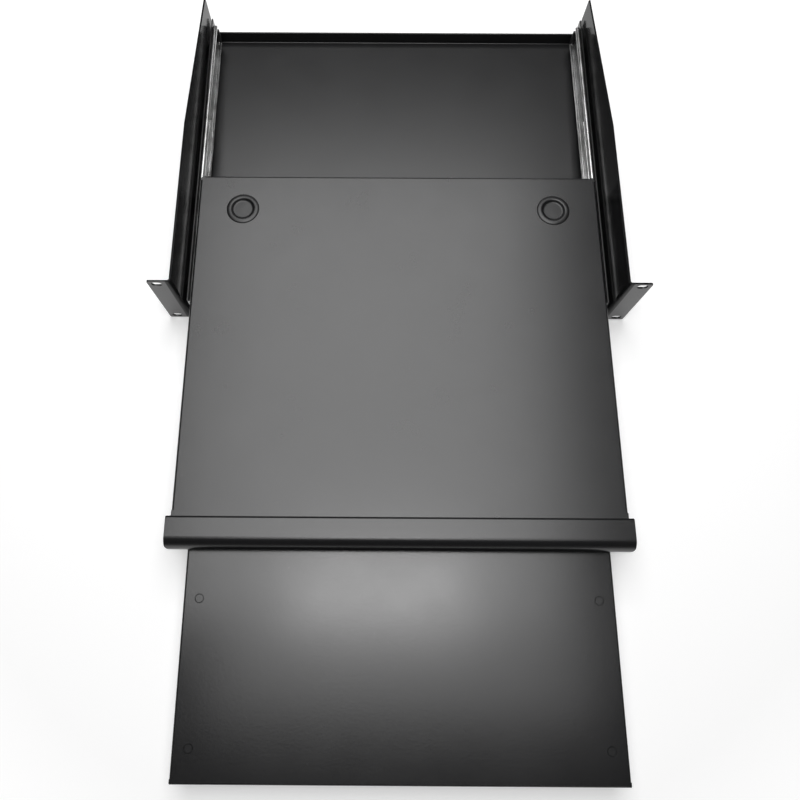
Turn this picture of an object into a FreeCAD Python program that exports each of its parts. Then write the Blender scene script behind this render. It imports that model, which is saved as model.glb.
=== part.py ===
"""Rack keyboard shelf: a 19 inch, 2U sliding keyboard tray with a second, smaller mouse tray below it.

Units are millimetres. +X is the shelf's right, seen from its front, +Y goes back into the rack, +Z is up.
The origin is the centre of the four slots in the ears, on the ears' rear face, which bears on the rack.
Everything stands as it does half way out: both trays are drawn towards the user.
"""
import FreeCAD, Part
import math
import os

Vec = FreeCAD.Vector
least_length = 1e-6
same_place = 0.01
past = 1.0
full_turn = 360
os.makedirs("parts", exist_ok=True)

# Rack standard
rack_width = 482.6
ear_height = 88.1
slot_side_inset = 8.75
slot_end_inset = 5.95
slot_length = 10.0
slot_width = 7.0
ear_corner_radius = 2.0

# Ear brackets
body_width = 440.0
bracket_sheet = 2.0
bracket_bend = 1.5
bracket_past_pan = 4.0
taper_start = 176.0
bracket_rear_height = 62.0
pad_depth = 2.0
pad_radius = 5.5
pad_slope = 3.5
pad_wall = 1.5

# Base pan
pan_sheet = 1.5
pan_bend = 1.0
pan_front = 2.0
pan_front_lip = 4.0
pan_notch_gap = 1.0
pan_past_rails = 10.5
pan_rear_lip = 16.0
pan_side = 36.5
lip_end_gap = 0.6

# Main slides, three rolled members each, with balls in cages between them
slide_thickness = 8.0
slide_height = 29.0
slide_centre = 22.5
slide_sheet = 1.2
middle_sheet = 1.0
running_gap = 0.3
outer_ball = 3.0
inner_ball = 2.5
race_offset = 1.8
outer_rail_front = 0.5
outer_rail_length = 348.0
middle_rail_rear = 222.0
middle_rail_length = 325.0
inner_rail_rear = 130.0
inner_rail_length = 340.0
cage_sheet = 0.7
cage_back = 0.38
ball_pocket_gap = 0.1
cage_gap = 0.36
outer_cage_centre = 113.5
outer_cage_length = 140.0
outer_cage_reach = 2.5
inner_cage_centre = 13.5
inner_cage_length = 150.0
inner_cage_reach = 2.0
balls_per_strip = 5
bumper_length = 3.0
bumper_height = 18.0
bumper_depth = 5.5

# Keyboard tray
tray_top = 57.5
tray_sheet = 1.5
tray_bend = 1.0
tray_rear = 134.0
tray_front = -232.0
tray_side_front = -213.0
tray_side_bottom = 8.0
tray_rear_fold = 12.0
tray_corner_radius = 5.0
front_fold_height = 12.0
front_fold_return = 16.0

# Front handle bar
handle_sheet = 1.5
handle_overhang = 4.5
handle_rear = -218.0
handle_front = -247.0
handle_top_radius = 11.0
handle_bottom_radius = 3.5
handle_corner_radius = 3.0
handle_return_rear = -216.5

# Blanking plugs in the keyboard tray's rear corners
plug_side_inset = 46.5
plug_rear_inset = 39.0
plug_radius = 16.75
plug_rim_height = 1.4
plug_rim_bevel = 0.8
plug_dish_radius = 12.2
plug_floor_radius = 9.7
plug_dish_depth = 2.4
plug_hole_radius = 14.0
plug_hole_gap = 0.2
plug_skirt_length = 7.0
plug_wall = 1.5
plug_catch = 0.8

# Mouse tray slides, two members each, which lie flat under the panel
mouse_slide_inset = 25.0
mouse_slide_thickness = 12.0
mouse_slide_width = 24.0
mouse_ball = 4.0
mouse_outer_front = -212.0
mouse_outer_length = 300.0
mouse_inner_front = -433.0
mouse_inner_length = 310.0
mouse_flange_drop = 1.9
mouse_flange_start = 1.4

# Brackets that carry the mouse tray's slides on the keyboard tray's sides
shelf_sheet = 1.5
shelf_bend = 1.0
shelf_leg_top = 50.0
shelf_toe_gap = 1.5
shelf_rivet_height = 44.0
shelf_rivet_count = 4
shelf_rivet_head = 1.2
mouse_cage_centre = -167.5
mouse_cage_length = 75.0
mouse_cage_reach = 2.5
mouse_balls_per_strip = 4

# Mouse tray
mouse_top = 36.0
mouse_sheet = 1.5
mouse_bend = 0.6
mouse_front = -438.6
mouse_side_gap = 12.1
mouse_depth = 320.0
mouse_fold = 7.0
mouse_fold_gap = 1.5
rivet_first = 27.6
rivet_pitch = 122.0
rivet_count = 3
rivet_radius = 4.0
rivet_shank_radius = 2.0
rivet_tail = 1.0
rivet_tail_radius = 3.5
rivet_tail_end_radius = 3.0
rivet_gap = 0.1

# Screws
screw_radius = 1.9
screw_head_radius = 3.6
screw_head_height = 2.0
screw_head_edge = 1.2
screw_crown_radius = 2.5
screw_hole_gap = 0.2
thread_gap = 0.1
bracket_screw_front = 16.5
bracket_screw_rear = 26.5
bracket_screw_count = 4
inner_screw_front = 20.0
inner_screw_rear = 18.0
inner_screw_count = 3
mouse_screw_front = 16.0
mouse_screw_rear = 18.0
mouse_screw_count = 3
handle_screw_inset = 41.0
handle_screw_count = 4
handle_screw_setback = 9.0


def spread(first, last, count):
    """Evenly spaced places from the first to the last."""
    return [first + (last - first) * i / (count - 1) for i in range(count)]


# Places that follow from the sizes above
base = -ear_height / 2
slot_spacing_x = rack_width - 2 * slot_side_inset
slot_spacing_z = ear_height - 2 * slot_end_inset
rail_rear = outer_rail_front + outer_rail_length
pan_rear = rail_rear + pan_past_rails
bracket_rear = pan_rear + bracket_past_pan
wall_outer = body_width / 2
wall_inner = wall_outer - bracket_sheet
pan_half = wall_inner - pad_depth
slide_face = pan_half - pan_sheet
tray_half = slide_face - slide_thickness
tray_inside = tray_half - tray_sheet
plug_x = tray_half - plug_side_inset
plug_y = tray_rear - plug_rear_inset
mouse_slide_x = tray_inside - mouse_slide_inset
mouse_half = tray_half - mouse_side_gap
mouse_slide_top = base + mouse_top - mouse_sheet
mouse_slide_seat = mouse_slide_top - mouse_slide_thickness
handle_half = tray_half + handle_overhang
handle_top = tray_top + handle_sheet
handle_bottom = tray_top - front_fold_height - handle_sheet
handle_screw_y = tray_front + handle_screw_setback
slide_z = base + slide_centre
mouse_rear = mouse_front + mouse_depth
inner_rail_front = inner_rail_rear - inner_rail_length
mouse_outer_rear = mouse_outer_front + mouse_outer_length
bracket_screw_places = spread(outer_rail_front + bracket_screw_front, rail_rear - bracket_screw_rear,
                              bracket_screw_count)
inner_screw_places = spread(inner_rail_front + inner_screw_front, inner_rail_rear - inner_screw_rear,
                            inner_screw_count)
mouse_outer_screw_places = spread(mouse_outer_front + mouse_screw_front, mouse_outer_rear - mouse_screw_rear,
                                  mouse_screw_count)
shelf_rivet_places = spread(mouse_outer_front + mouse_screw_front, mouse_outer_rear - mouse_screw_rear,
                            shelf_rivet_count)
handle_screw_places = spread(handle_screw_inset - handle_half, handle_half - handle_screw_inset,
                             handle_screw_count)
rivet_places = [mouse_front + rivet_first + rivet_pitch * i for i in range(rivet_count)]


def unit(p, q):
    length = math.hypot(q[0] - p[0], q[1] - p[1])
    return ((q[0] - p[0]) / length, (q[1] - p[1]) / length)


def offset_path(points, distance):
    """The path moved to its own right by a distance, with mitred corners."""
    directions = [unit(p, q) for p, q in zip(points, points[1:])]
    normals = [(d[1], -d[0]) for d in directions]
    moved = []
    for i, point in enumerate(points):
        before = normals[max(i - 1, 0)]
        after = normals[min(i, len(normals) - 1)]
        spread = 1 + before[0] * after[0] + before[1] * after[1]
        moved.append((point[0] + distance * (before[0] + after[0]) / spread,
                      point[1] + distance * (before[1] + after[1]) / spread))
    return moved


def rounded_path(points, radii):
    """Lines through the points, with an arc of the given radius at each inner corner."""
    pieces = []
    last = points[0]
    for i in range(1, len(points) - 1):
        u = unit(points[i - 1], points[i])
        w = unit(points[i], points[i + 1])
        half_turn = math.acos(max(-1.0, min(1.0, u[0] * w[0] + u[1] * w[1]))) / 2
        radius = radii[i - 1]
        tangent = radius * math.tan(half_turn)
        start = (points[i][0] - u[0] * tangent, points[i][1] - u[1] * tangent)
        end = (points[i][0] + w[0] * tangent, points[i][1] + w[1] * tangent)
        inward = unit((u[0], u[1]), (w[0], w[1]))
        reach = radius / math.cos(half_turn) - radius
        middle = (points[i][0] + inward[0] * reach, points[i][1] + inward[1] * reach)
        pieces.append((last, start))
        pieces.append((start, middle, end))
        last = end
    pieces.append((last, points[-1]))
    return [piece for piece in pieces if math.dist(piece[0], piece[-1]) > least_length]


def place(point, plane, level):
    """A 2D point on one of the three planes: xz looks along Y, yz along X and xy along Z."""
    if plane == "xz":
        return Vec(point[0], level, point[1])
    if plane == "yz":
        return Vec(level, point[0], point[1])
    return Vec(point[0], point[1], level)


def edge(piece, plane, level):
    spots = [place(p, plane, level) for p in piece]
    if len(spots) == 2:
        return Part.makeLine(spots[0], spots[1])
    return Part.Arc(spots[0], spots[1], spots[2]).toShape()


def extrude(pieces, plane, low, high):
    """A solid between two levels, from a closed loop of lines and arcs."""
    face = Part.Face(Part.Wire([edge(piece, plane, low) for piece in pieces]))
    along = {"xz": Vec(0, 1, 0), "yz": Vec(1, 0, 0), "xy": Vec(0, 0, 1)}[plane]
    return face.extrude(along * (high - low))


def bent_sheet(points, thickness, bends, plane, low, high):
    """Folded sheet: the points are its outer face, and the sheet lies to the right of the path."""
    inner = offset_path(points, thickness)
    outer_radii = []
    inner_radii = []
    for i in range(1, len(points) - 1):
        u = unit(points[i - 1], points[i])
        w = unit(points[i], points[i + 1])
        turns_right = u[0] * w[1] - u[1] * w[0] < 0
        outer_radii.append(bends[i - 1] + (thickness if turns_right else 0))
        inner_radii.append(bends[i - 1] + (0 if turns_right else thickness))
    there = rounded_path(points, outer_radii)
    back = rounded_path(inner[::-1], inner_radii[::-1])
    loop = there + [(points[-1], inner[-1])] + back + [(inner[0], points[0])]
    return extrude(loop, plane, low, high)


def box(x0, x1, y0, y1, z0, z1):
    return Part.makeBox(x1 - x0, y1 - y0, z1 - z0, Vec(x0, y0, z0))


def rod(radius, start, direction, length):
    return Part.makeCylinder(radius, length, Vec(*start), Vec(*direction))


def joined(shapes):
    whole = shapes[0]
    for shape in shapes[1:]:
        whole = whole.fuse(shape)
    return whole.removeSplitter()


def drilled(shape, tools):
    for tool in tools:
        shape = shape.cut(tool)
    return shape


def mirrored(shape):
    """The left-hand piece from the right-hand one."""
    return shape.mirror(Vec(0, 0, 0), Vec(1, 0, 0))


def both_sides(shapes):
    return Part.makeCompound(list(shapes) + [mirrored(s) for s in shapes])


def save(name, shape):
    solids = shape.Solids
    for solid in solids:
        if not solid.isValid():
            raise ValueError(name + " is not a valid solid")
    kept = solids[0] if len(solids) == 1 else Part.makeCompound(solids)
    kept.exportStep("parts/" + name + ".step")
    print(name, len(solids), round(sum(s.Volume for s in solids) / 1000, 2), "cm3")


def turned(profile, centre, axis):
    """A solid of revolution: profile points are (radius, height along the axis)."""
    frame = FreeCAD.Rotation(Vec(0, 0, 1), Vec(*axis))
    spots = [Vec(r, 0, h) for r, h in profile]
    spots.append(spots[0])
    face = Part.Face(Part.makePolygon(spots))
    solid = face.revolve(Vec(0, 0, 0), Vec(0, 0, 1), full_turn)
    solid.Placement = FreeCAD.Placement(Vec(*centre), frame)
    return solid


def screw(seat, into, length):
    """Pan head screw: the head stands on its seat and the shank goes the way of into."""
    away = tuple(-c for c in into)
    head = turned([(0, 0), (screw_head_radius, 0), (screw_head_radius, screw_head_edge),
                   (screw_crown_radius, screw_head_height), (0, screw_head_height)], seat, away)
    return head.fuse(rod(screw_radius, seat, into, length)).removeSplitter()


def screw_hole(seat, into, length):
    start = tuple(s - past * i for s, i in zip(seat, into))
    return rod(screw_radius + screw_hole_gap, start, into, length + 2 * past)


def ring(centre, inner, outer, start, end, mirror_v=1):
    """Part of a round race in a slide's section, between two angles in degrees."""
    def at(radius, degrees):
        turn = math.radians(degrees)
        return (centre[0] + radius * math.cos(turn), mirror_v * (centre[1] + radius * math.sin(turn)))
    middle = (start + end) / 2
    return [(at(outer, start), at(outer, middle), at(outer, end)), (at(outer, end), at(inner, end)),
            (at(inner, end), at(inner, middle), at(inner, start)), (at(inner, start), at(outer, start))]


def upright(face):
    """Section of a slide that stands on edge: u runs inwards from its outer face, v up from its middle."""
    return lambda u, v: (face - u, slide_z + v)


def flat(middle, seat):
    """Section of a slide that lies flat: u runs up from its seat, v outwards from its middle."""
    return lambda u, v: (middle + v, seat + u)


def rail_solid(sections, lie, front, length):
    """Rolled rail: loops in (u, v), set upright or flat."""
    solids = []
    for loop in sections:
        pieces = [tuple(lie(u, v) for u, v in piece) for piece in loop]
        solids.append(extrude(pieces, "xz", front, front + length))
    return joined(solids)


def strip(u0, u1, v0, v1):
    corners = [(u0, v0), (u1, v0), (u1, v1), (u0, v1)]
    return [(corners[i], corners[(i + 1) % 4]) for i in range(4)]


def paired(section, *arguments):
    """The same section above and below the slide's middle."""
    return [section(*arguments, mirror_v=1), section(*arguments, mirror_v=-1)]


# Slide sections: the races wrap round the ball centres, between angles counted from inwards through up
outer_race = outer_ball / 2 + running_gap
outer_ball_u = outer_race + slide_sheet
outer_ball_v = slide_height / 2 - outer_ball_u
inner_race = inner_ball / 2 + running_gap
inner_ball_u = outer_ball_u + race_offset
race_distance = outer_race + middle_sheet + inner_race
inner_ball_v = outer_ball_v - math.sqrt(race_distance ** 2 - race_offset ** 2)
middle_web_u = inner_ball_u - inner_race - middle_sheet
inner_web_half = inner_ball_v - inner_race / 2
mouse_race = mouse_ball / 2 + running_gap
mouse_ball_u = mouse_race + slide_sheet
mouse_ball_v = mouse_slide_width / 2 - mouse_ball_u
mouse_web_half = mouse_ball_v - mouse_flange_drop
main_slide = upright(slide_face)
mouse_slide = flat(mouse_slide_x, mouse_slide_seat)
web_side = 180
lip_end = 25
middle_lip_end = 28
groove_start = 256
groove_end = 330
curl_start = 262
curl_end = 335


def outer_member(ball_u, ball_v, race, lie, front, length, holes):
    """C-shaped outer member: a flat web with a round lip over each row of balls."""
    sections = [strip(0, slide_sheet, -ball_v, ball_v)]
    sections += paired(ring, (ball_u, ball_v), race, race + slide_sheet, web_side, lip_end)
    return drilled(rail_solid(sections, lie, front, length), holes)


def threaded(x, y, z, into):
    """Hole in a slide's web that a screw's thread bites in, cut past both of the web's faces."""
    start = tuple(s - past * i for s, i in zip((x, y, z), into))
    return rod(screw_radius + thread_gap, start, into, slide_sheet + 2 * past)


def middle_member():
    """Middle member: grooves outside for the outer balls and inside for the inner balls."""
    sections = [strip(middle_web_u, middle_web_u + middle_sheet, -inner_ball_v, inner_ball_v)]
    sections += paired(ring, (inner_ball_u, inner_ball_v), inner_race, inner_race + middle_sheet,
                       web_side, middle_lip_end)
    sections += paired(ring, (outer_ball_u, outer_ball_v), outer_race, outer_race + middle_sheet,
                       groove_start, groove_end)
    return rail_solid(sections, main_slide, middle_rail_rear - middle_rail_length, middle_rail_length)


def inner_member():
    """Inner member: a web on the tray's side, whose edges curl under the inner balls."""
    web_u = slide_thickness - middle_sheet
    sections = [strip(web_u, slide_thickness, -inner_web_half, inner_web_half)]
    sections += paired(ring, (inner_ball_u, inner_ball_v), inner_race, inner_race + middle_sheet,
                       curl_start, curl_end)
    rail = rail_solid(sections, main_slide, inner_rail_front, inner_rail_length)
    return drilled(rail, [screw_hole((tray_half + middle_sheet, y, slide_z), (-1, 0, 0), middle_sheet)
                          for y in inner_screw_places])


def mouse_inner_member():
    """Inner member of a mouse slide: a web under the panel, two flanges and a curl at each row of balls."""
    web_u = mouse_slide_thickness - slide_sheet
    flange_u = mouse_ball_u + mouse_flange_start
    sections = [strip(web_u, mouse_slide_thickness, -mouse_web_half, mouse_web_half)]
    for side in (1, -1):
        low, high = sorted((side * (mouse_web_half - slide_sheet), side * mouse_web_half))
        sections.append(strip(flange_u, web_u, low, high))
    sections += paired(ring, (mouse_ball_u, mouse_ball_v), mouse_race, mouse_race + slide_sheet,
                       curl_start, curl_end)
    rail = rail_solid(sections, mouse_slide, mouse_inner_front, mouse_inner_length)
    return drilled(rail, [rivet_hole((mouse_slide_x, y, mouse_slide_top), (0, 0, -1), slide_sheet)
                          for y in rivet_places])


def ball_places(centre, length, count):
    pitch = length / count
    return [centre + pitch * (i - (count - 1) / 2) for i in range(count)]


def ball_row(lie, ball_u, ball_v, diameter, places):
    """Balls in the two strips of one cage."""
    return [Part.makeSphere(diameter / 2, place(lie(ball_u, side * ball_v), "xz", y))
            for y in places for side in (1, -1)]


def cage(lie, back_u, strip_end, ball_u, ball_v, diameter, centre, length, count, with_back):
    """Ball cage: a strip along each row of balls, with or without a back that joins the two."""
    low = centre - length / 2
    sections = []
    for side in (1, -1):
        edges = sorted((side * ball_v - cage_sheet / 2, side * ball_v + cage_sheet / 2))
        sections.append(strip(back_u, strip_end, edges[0], edges[1]))
    if with_back:
        sections.append(strip(back_u, back_u + cage_back, -ball_v, ball_v))
    solid = rail_solid(sections, lie, low, length)
    pocket = diameter / 2 + ball_pocket_gap
    pockets = []
    for y in ball_places(centre, length, count):
        for side in (1, -1):
            start = place(lie(ball_u, side * ball_v - pocket), "xz", y)
            end = place(lie(ball_u, side * ball_v + pocket), "xz", y)
            pockets.append(Part.makeCylinder(pocket, 2 * pocket, start, end - start))
    return drilled(solid, pockets)


def ear_bracket():
    """One bent sheet: the ear, the side wall that tapers towards the back, and its sunk screw pads."""
    plan = [(rack_width / 2, -bracket_sheet), (wall_inner, -bracket_sheet), (wall_inner, bracket_rear)]
    bracket = bent_sheet(plan, bracket_sheet, [bracket_bend], "xy", base, -base)
    top = -base
    rear_top = base + bracket_rear_height
    spots = [(taper_start, top), (bracket_rear, rear_top), (bracket_rear + past, rear_top),
             (bracket_rear + past, top + past), (taper_start, top + past)]
    taper = list(zip(spots, spots[1:] + spots[:1]))
    bracket = bracket.cut(extrude(taper, "yz", wall_inner - past, wall_outer + past))
    corners = [e for e in bracket.Edges if abs(e.BoundBox.XMin - rack_width / 2) < same_place
               and e.BoundBox.XLength < same_place and e.BoundBox.ZLength < same_place]
    bracket = bracket.makeFillet(ear_corner_radius, corners)
    for z in (-slot_spacing_z / 2, slot_spacing_z / 2):
        bracket = bracket.cut(slot(slot_spacing_x / 2, z))
    hole = screw_radius + screw_hole_gap
    inner_radius = pad_radius + pad_wall
    rim = inner_radius + pad_slope
    for y in bracket_screw_places:
        pad = turned([(pad_radius + pad_slope, bracket_sheet), (pad_radius, 0), (hole, 0),
                      (hole, -pad_depth), (inner_radius, -pad_depth), (rim, 0), (rim, bracket_sheet)],
                     (wall_inner, y, slide_z), (1, 0, 0))
        opening = rod(rim, (wall_inner - past, y, slide_z), (1, 0, 0), bracket_sheet + 2 * past)
        bracket = bracket.cut(opening).fuse(pad)
    return bracket.removeSplitter()


def slot(x, z):
    """A rack slot through the ear: two round ends and the straight stretch between them."""
    half = (slot_length - slot_width) / 2
    start = -bracket_sheet - past
    depth = bracket_sheet + 2 * past
    ends = [rod(slot_width / 2, (x + side * half, start, z), (0, 1, 0), depth) for side in (-1, 1)]
    middle = box(x - half, x + half, start, start + depth, z - slot_width / 2, z + slot_width / 2)
    return joined([middle] + ends)


def base_pan():
    """Floor pan between the brackets, folded up on its four sides."""
    rim = base + pan_side
    outline = [(pan_half, rim), (pan_half, base), (-pan_half, base), (-pan_half, rim)]
    corner = pan_sheet + pan_bend
    floor_front = pan_front + corner
    floor_rear = pan_rear - corner
    pan = bent_sheet(outline, pan_sheet, [pan_bend, pan_bend], "xz", floor_front, floor_rear)
    reach = pan_half - corner
    rear = [(pan_rear, base + pan_rear_lip), (pan_rear, base), (floor_rear - corner, base)]
    rear_fold = bent_sheet(rear, pan_sheet, [pan_bend], "yz", -reach, reach)
    front = [(floor_front + corner, base), (pan_front, base), (pan_front, base + pan_front_lip)]
    front_fold = bent_sheet(front, pan_sheet, [pan_bend], "yz", -reach, reach)
    lip_half = slide_face - lip_end_gap
    lip = box(-lip_half, lip_half, pan_rear - pan_sheet, pan_rear, base + corner, base + pan_rear_lip)
    ends = [box(x, x + pan_sheet, floor_rear, pan_rear, base + corner, base + pan_side)
            for x in (-pan_half, slide_face)]
    fronts = [box(x, x + pan_sheet, pan_front, floor_front, base + corner, base + pan_side)
              for x in (-pan_half, slide_face)]
    pan = joined([pan, rear_fold, front_fold, lip] + ends + fronts)
    notch = box(tray_half - pan_notch_gap, slide_face, pan_front - past, floor_front,
                base + corner, base + pan_front_lip + past)
    holes = [notch, mirrored(notch)]
    for y in bracket_screw_places:
        hole = screw_hole((pan_half, y, slide_z), (-1, 0, 0), pan_sheet)
        holes += [hole, mirrored(hole)]
    return drilled(pan, holes)


def keyboard_tray():
    """Inverted tray: flat top, deep sides that carry the slides, and folds along its front and rear."""
    top = base + tray_top
    side_rear = tray_rear - tray_corner_radius
    bottom = base + tray_side_bottom
    bends = [tray_bend, tray_bend]
    outline = [(-tray_half, bottom), (-tray_half, top), (tray_half, top), (tray_half, bottom)]
    tray = bent_sheet(outline, tray_sheet, bends, "xz", tray_side_front, side_rear)
    fold_bottom = top - front_fold_height
    front = [(tray_front + front_fold_return, fold_bottom), (tray_front, fold_bottom), (tray_front, top),
             (tray_side_front, top)]
    front_fold = bent_sheet(front, tray_sheet, bends, "yz", -tray_half, tray_half)
    rear = [(side_rear, top), (tray_rear, top), (tray_rear, top - tray_rear_fold)]
    fold_half = tray_half - tray_corner_radius
    rear_fold = bent_sheet(rear, tray_sheet, [tray_bend], "yz", -fold_half, fold_half)
    corner = rod(tray_corner_radius, (fold_half, side_rear, top - tray_sheet), (0, 0, 1), tray_sheet)
    corner = corner.common(box(fold_half, tray_half, side_rear, tray_rear, top - tray_sheet, top))
    tray = joined([tray, front_fold, rear_fold, corner, mirrored(corner)])
    plug_hole = rod(plug_hole_radius, (plug_x, plug_y, top - tray_sheet - past), (0, 0, 1),
                    tray_sheet + 2 * past)
    holes = [plug_hole, mirrored(plug_hole)]
    for hole in ([screw_hole((tray_half, y, slide_z), (-1, 0, 0), tray_sheet) for y in inner_screw_places]
                 + [rivet_hole((tray_inside, y, base + shelf_rivet_height), (1, 0, 0), tray_sheet)
                    for y in shelf_rivet_places]):
        holes += [hole, mirrored(hole)]
    holes += [screw_hole((x, handle_screw_y, fold_bottom), (0, 0, 1), tray_sheet)
              for x in handle_screw_places]
    return drilled(tray, holes)


def front_handle():
    """Rolled bar that wraps the tray's front edge, with closed ends."""
    low = base + handle_bottom
    high = base + handle_top
    outline = [(handle_return_rear, low), (handle_front, low), (handle_front, high), (handle_rear, high)]
    radii = [handle_bottom_radius - handle_sheet, handle_top_radius - handle_sheet]
    bar = bent_sheet(outline, handle_sheet, radii, "yz", -handle_half, handle_half)
    closed = rounded_path(outline, [handle_bottom_radius, handle_top_radius])
    closed.append((outline[-1], outline[0]))
    end = extrude(closed, "yz", handle_half - handle_sheet, handle_half)
    bar = joined([bar, end, mirrored(end)])
    x0 = handle_half - handle_corner_radius
    y0 = handle_front + handle_corner_radius
    trim = box(x0, handle_half + past, handle_front - past, y0, low - past, high + past)
    trim = trim.cut(rod(handle_corner_radius, (x0, y0, low - 2 * past), (0, 0, 1), high - low + 4 * past))
    holes = [screw_hole((x, handle_screw_y, low), (0, 0, 1), handle_sheet) for x in handle_screw_places]
    return drilled(bar, [trim, mirrored(trim)] + holes)


def cable_plug(side):
    """Snap-in blanking plug: a raised rim, a dished middle and a skirt with a catch under the sheet."""
    top = plug_rim_height
    dish = top - plug_dish_depth
    skirt = plug_hole_radius - plug_hole_gap
    below = -tray_sheet - plug_hole_gap
    wall_end = -plug_skirt_length
    profile = [(0, dish), (plug_floor_radius, dish), (plug_dish_radius, top),
               (plug_radius - plug_rim_bevel, top), (plug_radius, top - plug_rim_bevel), (plug_radius, 0),
               (skirt, 0), (skirt, below), (skirt + plug_catch, below - plug_catch),
               (skirt - plug_hole_gap, wall_end), (skirt - plug_wall, wall_end),
               (skirt - plug_wall, dish - plug_wall), (0, dish - plug_wall)]
    return turned(profile, (side * plug_x, plug_y, base + tray_top), (0, 0, 1))


def rivet_hole(seat, into, length):
    """Hole for a rivet's shank, cut past both ends of its grip."""
    start = tuple(s - past * i for s, i in zip(seat, into))
    return rod(rivet_shank_radius + rivet_gap, start, into, length + 2 * past)


def mouse_panel():
    """The mouse tray's flat panel, with a small fold on each side and countersunk rivet holes."""
    top = base + mouse_top
    low = top - mouse_fold
    outline = [(-mouse_half, low), (-mouse_half, top), (mouse_half, top), (mouse_half, low)]
    panel = bent_sheet(outline, mouse_sheet, [mouse_bend, mouse_bend], "xz",
                       mouse_front + mouse_sheet, mouse_rear - mouse_sheet)
    corner = mouse_sheet + mouse_bend
    front = [(mouse_front, low), (mouse_front, top), (mouse_front + 2 * corner, top)]
    rear = [(mouse_rear - 2 * corner, top), (mouse_rear, top), (mouse_rear, low)]
    rear_reach = mouse_slide_x - mouse_slide_width / 2 - mouse_fold_gap
    folds = [bent_sheet(front, mouse_sheet, [mouse_bend], "yz", -mouse_half, mouse_half),
             bent_sheet(rear, mouse_sheet, [mouse_bend], "yz", -rear_reach, rear_reach)]
    panel = joined([panel] + folds)
    wide = rivet_radius + rivet_gap
    narrow = rivet_shank_radius + rivet_gap
    sink_profile = [(0, past), (wide, past), (wide, 0), (narrow, -mouse_sheet),
                    (narrow, -mouse_sheet - past), (0, -mouse_sheet - past)]
    sinks = [turned(sink_profile, (mouse_slide_x, y, top), (0, 0, 1)) for y in rivet_places]
    return drilled(panel, sinks + [mirrored(sink) for sink in sinks])


def mouse_bracket():
    """Angle on the inside of the keyboard tray's side, whose lower leg carries a mouse slide."""
    toe = mouse_slide_x - mouse_slide_width / 2 - shelf_toe_gap
    heel = mouse_slide_seat - shelf_sheet
    outline = [(tray_inside, base + shelf_leg_top), (tray_inside, heel), (toe, heel)]
    bracket = bent_sheet(outline, shelf_sheet, [shelf_bend], "xz", mouse_outer_front, mouse_outer_rear)
    inner_face = tray_inside - shelf_sheet
    holes = [rivet_hole((inner_face, y, base + shelf_rivet_height), (1, 0, 0), shelf_sheet)
             for y in shelf_rivet_places]
    holes += [screw_hole((mouse_slide_x, y, mouse_slide_seat), (0, 0, -1), shelf_sheet)
              for y in mouse_outer_screw_places]
    return drilled(bracket, holes)


def bracket_rivet(y):
    """Blind rivet through the angle's upper leg and the tray's side, with a low dome inside."""
    grip = shelf_sheet + tray_sheet
    profile = [(0, shelf_rivet_head), (rivet_tail_end_radius, shelf_rivet_head),
               (rivet_radius, 0), (rivet_shank_radius, 0), (rivet_shank_radius, -grip),
               (rivet_tail_end_radius, -grip), (rivet_shank_radius, -grip - rivet_tail),
               (0, -grip - rivet_tail)]
    return turned(profile, (tray_inside - shelf_sheet, y, base + shelf_rivet_height), (-1, 0, 0))


def panel_rivet(y):
    """Flush rivet: a countersunk head in the panel and a closing head under the slide's web."""
    under = -mouse_sheet - slide_sheet
    profile = [(0, 0), (rivet_radius, 0), (rivet_shank_radius, -mouse_sheet), (rivet_shank_radius, under),
               (rivet_tail_radius, under), (rivet_tail_end_radius, under - rivet_tail),
               (0, under - rivet_tail)]
    return turned(profile, (mouse_slide_x, y, base + mouse_top), (0, 0, 1))


def rail_bumper():
    """Plastic stop at the back of the outer member, for the inner member when the tray is shut."""
    web = slide_face - slide_sheet
    return box(web - bumper_depth, web, rail_rear - bumper_length, rail_rear,
               slide_z - bumper_height / 2, slide_z + bumper_height / 2)


def save_pair(name, shape):
    save("right_" + name, shape)
    save("left_" + name, mirrored(shape))


save_pair("ear_bracket", ear_bracket())
save("base_pan", base_pan())
rail_holes = [threaded(slide_face - slide_sheet, y, slide_z, (1, 0, 0)) for y in bracket_screw_places]
save_pair("outer_rail", outer_member(outer_ball_u, outer_ball_v, outer_race, main_slide, outer_rail_front,
                                     outer_rail_length, rail_holes))
shank = pad_depth + pan_sheet + slide_sheet
save("bracket_screws", both_sides([screw((wall_inner, y, slide_z), (-1, 0, 0), shank)
                                   for y in bracket_screw_places]))
save("rail_bumpers", both_sides([rail_bumper()]))

save_pair("middle_rail", middle_member())
outer_balls = ball_places(outer_cage_centre, outer_cage_length, balls_per_strip)
save_pair("outer_cage", cage(main_slide, slide_sheet + cage_gap, outer_ball_u + outer_cage_reach,
                             outer_ball_u, outer_ball_v, outer_ball, outer_cage_centre, outer_cage_length,
                             balls_per_strip, True))
save("outer_bearing_balls", both_sides(ball_row(main_slide, outer_ball_u, outer_ball_v, outer_ball,
                                                outer_balls)))
inner_balls = ball_places(inner_cage_centre, inner_cage_length, balls_per_strip)
save_pair("inner_cage", cage(main_slide, middle_web_u + middle_sheet + cage_gap,
                             inner_ball_u + inner_cage_reach, inner_ball_u, inner_ball_v, inner_ball,
                             inner_cage_centre, inner_cage_length, balls_per_strip, True))
save("inner_bearing_balls", both_sides(ball_row(main_slide, inner_ball_u, inner_ball_v, inner_ball,
                                                inner_balls)))

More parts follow.
